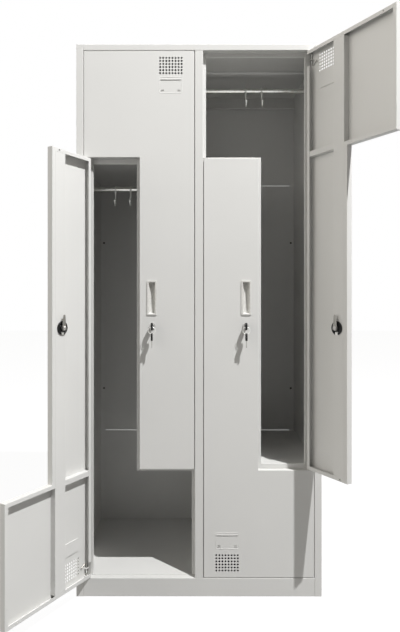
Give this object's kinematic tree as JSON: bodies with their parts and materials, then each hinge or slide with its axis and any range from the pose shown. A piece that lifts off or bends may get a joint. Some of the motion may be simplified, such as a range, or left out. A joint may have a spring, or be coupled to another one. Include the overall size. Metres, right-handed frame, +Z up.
{
  "type": "z locker",
  "caption": "Steel locker with interlocking L-shaped doors in two columns, hanging rods with coat hooks, recessed handles, cam locks with keys, and spring hinge pins",
  "frame": {"origin": "middle of the whole part's box, on the floor, with the lower left and upper right doors open", "axes": "+Z up, front towards -Y, +X to the right as seen from the front"},
  "size_m": [1.097, 0.8094, 1.8],
  "materials": {
    "body_paint": "fine powder coat, satin",
    "door_paint": "fine powder coat, satin",
    "zinc_steel": "bright zinc plated",
    "grey_plastic": "moulded, satin",
    "black_plastic": "moulded, satin"
  },
  "bodies": {
    "cabinet": {"left_side_panel": "body_paint", "right_side_panel": "body_paint", "centre_divider": "body_paint", "top_panel": "body_paint", "bottom_panel": "body_paint", "plinth": "body_paint", "back_panel_bottom": "body_paint", "back_panel_middle": "body_paint", "back_panel_top": "body_paint", "left_partition": "body_paint", "right_partition": "body_paint", "left_upper_shelf": "body_paint", "left_lower_shelf": "body_paint", "right_upper_shelf": "body_paint", "right_lower_shelf": "body_paint", "left_upper_rod": "zinc_steel", "left_lower_rod": "zinc_steel", "right_upper_rod": "zinc_steel", "right_lower_rod": "zinc_steel"},
    "upper_left_door": {"upper_left_door_skin": "door_paint", "upper_left_door_stiffener": "door_paint", "upper_left_handle_cup": "grey_plastic", "upper_left_lock_body": "black_plastic"},
    "upper_left_lock": {"upper_left_lock_cam": "zinc_steel", "upper_left_key": "black_plastic"},
    "upper_left_spare": {"upper_left_spare_key": "black_plastic"},
    "upper_left_pin": {"upper_left_hinge_pin": "zinc_steel"},
    "lower_left_door": {"lower_left_door_skin": "door_paint", "lower_left_door_stiffener": "door_paint", "lower_left_handle_cup": "grey_plastic", "lower_left_lock_body": "black_plastic"},
    "lower_left_lock": {"lower_left_lock_cam": "zinc_steel", "lower_left_key": "black_plastic"},
    "lower_left_spare": {"lower_left_spare_key": "black_plastic"},
    "lower_left_pin": {"lower_left_hinge_pin": "zinc_steel"},
    "upper_right_door": {"upper_right_door_skin": "door_paint", "upper_right_door_stiffener": "door_paint", "upper_right_handle_cup": "grey_plastic", "upper_right_lock_body": "black_plastic"},
    "upper_right_lock": {"upper_right_lock_cam": "zinc_steel", "upper_right_key": "black_plastic"},
    "upper_right_spare": {"upper_right_spare_key": "black_plastic"},
    "upper_right_pin": {"upper_right_hinge_pin": "zinc_steel"},
    "lower_right_door": {"lower_right_door_skin": "door_paint", "lower_right_door_stiffener": "door_paint", "lower_right_handle_cup": "grey_plastic", "lower_right_lock_body": "black_plastic"},
    "lower_right_lock": {"lower_right_lock_cam": "zinc_steel", "lower_right_key": "black_plastic"},
    "lower_right_spare": {"lower_right_spare_key": "black_plastic"},
    "lower_right_pin": {"lower_right_hinge_pin": "zinc_steel"},
    "left_upper_hook_1": {"left_upper_hook_1": "zinc_steel"},
    "left_upper_hook_2": {"left_upper_hook_2": "zinc_steel"},
    "left_lower_hook_1": {"left_lower_hook_1": "zinc_steel"},
    "left_lower_hook_2": {"left_lower_hook_2": "zinc_steel"},
    "right_upper_hook_1": {"right_upper_hook_1": "zinc_steel"},
    "right_upper_hook_2": {"right_upper_hook_2": "zinc_steel"},
    "right_lower_hook_1": {"right_lower_hook_1": "zinc_steel"},
    "right_lower_hook_2": {"right_lower_hook_2": "zinc_steel"}
  },
  "joints": [
    {"name": "upper_left_door_hinge", "type": "hinge", "parent": "cabinet", "child": "upper_left_door", "pos_m": [-0.022, -0.0908, 0.9], "axis": [0, 0, 1], "range_deg": [0, 120]},
    {"name": "upper_left_lock_turn", "type": "hinge", "parent": "upper_left_door", "child": "upper_left_lock", "pos_m": [-0.15225, -0.09531, 0.881], "axis": [0, 1, 0], "range_deg": [-90, 0]},
    {"name": "upper_left_spare_key_swing", "type": "hinge", "parent": "upper_left_lock", "child": "upper_left_spare", "pos_m": [-0.15225, -0.11951, 0.881], "axis": [0, 1, 0], "range_deg": [-20, 20]},
    {"name": "upper_left_hinge_pin_slide", "type": "slide", "parent": "upper_left_door", "child": "upper_left_pin", "axis": [0, 0, -1], "range_m": [0, 0.011], "stiffness_N_per_m": 400, "springref_m": -0.005},
    {"name": "lower_left_door_hinge", "type": "hinge", "parent": "cabinet", "child": "lower_left_door", "pos_m": [-0.3685, -0.0908, 0.9], "axis": [0, 0, 1], "range_deg": [0, 120]},
    {"name": "lower_left_lock_turn", "type": "hinge", "parent": "lower_left_door", "child": "lower_left_lock", "pos_m": [-0.43752, -0.20136, 0.881], "axis": [0.866, -0.5, 0], "range_deg": [0, 90]},
    {"name": "lower_left_spare_key_swing", "type": "hinge", "parent": "lower_left_lock", "child": "lower_left_spare", "pos_m": [-0.45848, -0.18926, 0.881], "axis": [0.866, -0.5, 0], "range_deg": [-20, 20]},
    {"name": "lower_left_hinge_pin_slide", "type": "slide", "parent": "lower_left_door", "child": "lower_left_pin", "axis": [0, 0, 1], "range_m": [0, 0.011], "stiffness_N_per_m": 400, "springref_m": -0.005},
    {"name": "upper_right_door_hinge", "type": "hinge", "parent": "cabinet", "child": "upper_right_door", "pos_m": [0.3685, -0.0908, 0.9], "axis": [0, 0, 1], "range_deg": [-120, 0]},
    {"name": "upper_right_lock_turn", "type": "hinge", "parent": "upper_right_door", "child": "upper_right_lock", "pos_m": [0.43752, -0.20136, 0.881], "axis": [-0.866, -0.5, 0], "range_deg": [-90, 0]},
    {"name": "upper_right_spare_key_swing", "type": "hinge", "parent": "upper_right_lock", "child": "upper_right_spare", "pos_m": [0.45848, -0.18926, 0.881], "axis": [-0.866, -0.5, 0], "range_deg": [-20, 20]},
    {"name": "upper_right_hinge_pin_slide", "type": "slide", "parent": "upper_right_door", "child": "upper_right_pin", "axis": [0, 0, -1], "range_m": [0, 0.011], "stiffness_N_per_m": 400, "springref_m": -0.005},
    {"name": "lower_right_door_hinge", "type": "hinge", "parent": "cabinet", "child": "lower_right_door", "pos_m": [0.022, -0.0908, 0.9], "axis": [0, 0, 1], "range_deg": [-120, 0]},
    {"name": "lower_right_lock_turn", "type": "hinge", "parent": "lower_right_door", "child": "lower_right_lock", "pos_m": [0.15225, -0.09531, 0.881], "axis": [0, 1, 0], "range_deg": [0, 90]},
    {"name": "lower_right_spare_key_swing", "type": "hinge", "parent": "lower_right_lock", "child": "lower_right_spare", "pos_m": [0.15225, -0.11951, 0.881], "axis": [0, 1, 0], "range_deg": [-20, 20]},
    {"name": "lower_right_hinge_pin_slide", "type": "slide", "parent": "lower_right_door", "child": "lower_right_pin", "axis": [0, 0, 1], "range_m": [0, 0.011], "stiffness_N_per_m": 400, "springref_m": -0.005},
    {"name": "left_upper_hook_1_slide", "type": "slide", "parent": "cabinet", "child": "left_upper_hook_1", "axis": [1, 0, 0], "range_m": [-0.174, 0.023]},
    {"name": "left_upper_hook_2_slide", "type": "slide", "parent": "cabinet", "child": "left_upper_hook_2", "axis": [1, 0, 0], "range_m": [-0.023, 0.146]},
    {"name": "left_lower_hook_1_slide", "type": "slide", "parent": "cabinet", "child": "left_lower_hook_1", "axis": [1, 0, 0], "range_m": [-0.086, 0.021]},
    {"name": "left_lower_hook_2_slide", "type": "slide", "parent": "cabinet", "child": "left_lower_hook_2", "axis": [1, 0, 0], "range_m": [-0.021, 0.044]},
    {"name": "right_upper_hook_1_slide", "type": "slide", "parent": "cabinet", "child": "right_upper_hook_1", "axis": [1, 0, 0], "range_m": [-0.165, 0.023]},
    {"name": "right_upper_hook_2_slide", "type": "slide", "parent": "cabinet", "child": "right_upper_hook_2", "axis": [1, 0, 0], "range_m": [-0.023, 0.155]},
    {"name": "right_lower_hook_1_slide", "type": "slide", "parent": "cabinet", "child": "right_lower_hook_1", "axis": [1, 0, 0], "range_m": [-0.081, 0.021]},
    {"name": "right_lower_hook_2_slide", "type": "slide", "parent": "cabinet", "child": "right_lower_hook_2", "axis": [1, 0, 0], "range_m": [-0.021, 0.039]}
  ]
}
